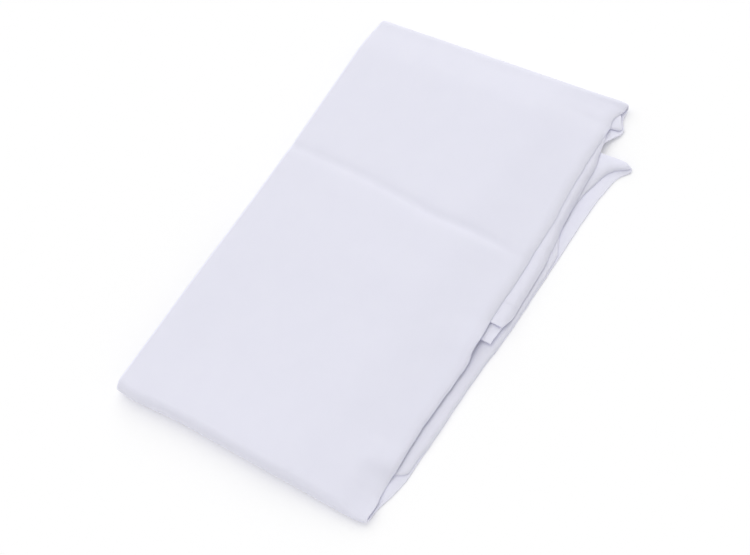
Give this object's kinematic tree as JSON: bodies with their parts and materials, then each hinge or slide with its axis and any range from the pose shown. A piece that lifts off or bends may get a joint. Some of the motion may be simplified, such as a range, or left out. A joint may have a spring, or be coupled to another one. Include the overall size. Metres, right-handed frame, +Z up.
{
  "type": "folded pillowcase",
  "caption": "Plain white cotton pillowcase, folded flat into a neat long rectangle with a closed long fold, an open layered side and loose corners.",
  "frame": {"origin": "on the floor, under the middle of the folded case's box", "axes": "+Z up; +X from the closed long fold to the open long side; +Y from the near fold to the far fold"},
  "size_m": [0.2274, 0.3308, 0.0159],
  "materials": {
    "cotton": "matt, plain close weave"
  },
  "bodies": {
    "root": {"case": "cotton"}
  },
  "joints": []
}
